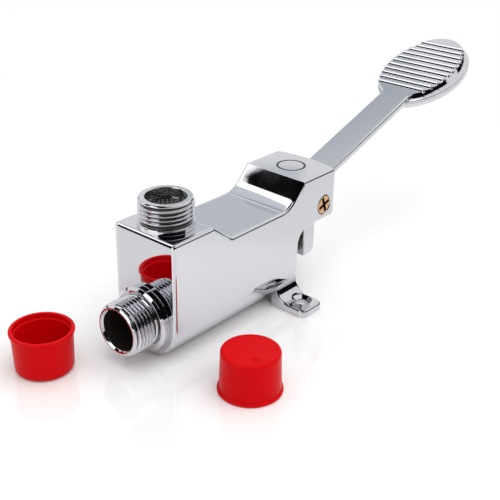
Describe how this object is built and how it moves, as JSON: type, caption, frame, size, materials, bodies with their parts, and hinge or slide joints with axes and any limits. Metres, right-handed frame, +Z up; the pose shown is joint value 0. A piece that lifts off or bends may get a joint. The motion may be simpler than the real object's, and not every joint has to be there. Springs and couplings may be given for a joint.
{
  "type": "foot pedal tap valve",
  "caption": "Chromed foot-operated water valve: floor-fixed cast body with threaded front and top ports, a ribbed pedal on a long arm that pushes a sprung stem, and loose red thread caps.",
  "frame": {"origin": "on the floor, midway between the two fixing holes", "axes": "+Z up along the outlet, -Y along the inlet towards its pipe, +Y towards the pedal, +X to the right seen from the inlet end"},
  "size_m": [0.089, 0.2549, 0.0825],
  "materials": {
    "chrome_casting": "polished chrome plate on a brass casting",
    "chrome_turned": "chrome plate on turned brass",
    "plain_brass": "turned brass, unplated",
    "screw_brass": "reddish brass screw",
    "strainer_steel": "stainless wire and turned steel",
    "black_rubber": "moulded seal rubber",
    "white_nylon": "natural nylon",
    "red_plastic": "soft moulded polyethylene, slightly glossy"
  },
  "bodies": {
    "valve": {"valve_body": "chrome_casting", "inlet_nipple": "chrome_turned", "inlet_seal": "black_rubber", "outlet_nipple": "chrome_turned", "outlet_seal": "black_rubber", "strainer_ring": "strainer_steel", "strainer_mesh": "strainer_steel", "seat_ring": "plain_brass", "packing_washer": "plain_brass", "gland_packing": "black_rubber", "gland_nut": "plain_brass", "return_spring": "strainer_steel", "pivot_screw": "screw_brass"},
    "pedal": {"pedal_lever": "chrome_casting", "pivot_bush": "white_nylon"},
    "stem": {"valve_stem": "plain_brass", "disc_holder": "plain_brass", "seat_washer": "black_rubber", "stem_nut": "plain_brass", "stem_button": "strainer_steel"},
    "inlet_cap": {"inlet_cap": "red_plastic"},
    "outlet_cap": {"outlet_cap": "red_plastic"}
  },
  "joints": [
    {"name": "pedal_pivot", "type": "hinge", "parent": "valve", "child": "pedal", "pos_m": [0, 0.0205, 0.0373], "axis": [-1, 0, 0], "range_deg": [0, 12], "stiffness_Nm_per_rad": 1.5, "springref_deg": -14.32},
    {"name": "stem_slide", "type": "slide", "parent": "valve", "child": "stem", "axis": [0, -1, 0], "range_m": [0, 0.005], "deforming": ["return_spring"]},
    {"name": "inlet_cap_lift", "type": "slide", "parent": "valve", "child": "inlet_cap", "axis": [0, 0, 1], "range_m": [0, 0.06]},
    {"name": "outlet_cap_lift", "type": "slide", "parent": "valve", "child": "outlet_cap", "axis": [0, 0, 1], "range_m": [0, 0.06]}
  ],
  "couplings": [
    {"joint": "stem_slide", "follows": "pedal_pivot", "m_per_rad": 0.0232}
  ]
}
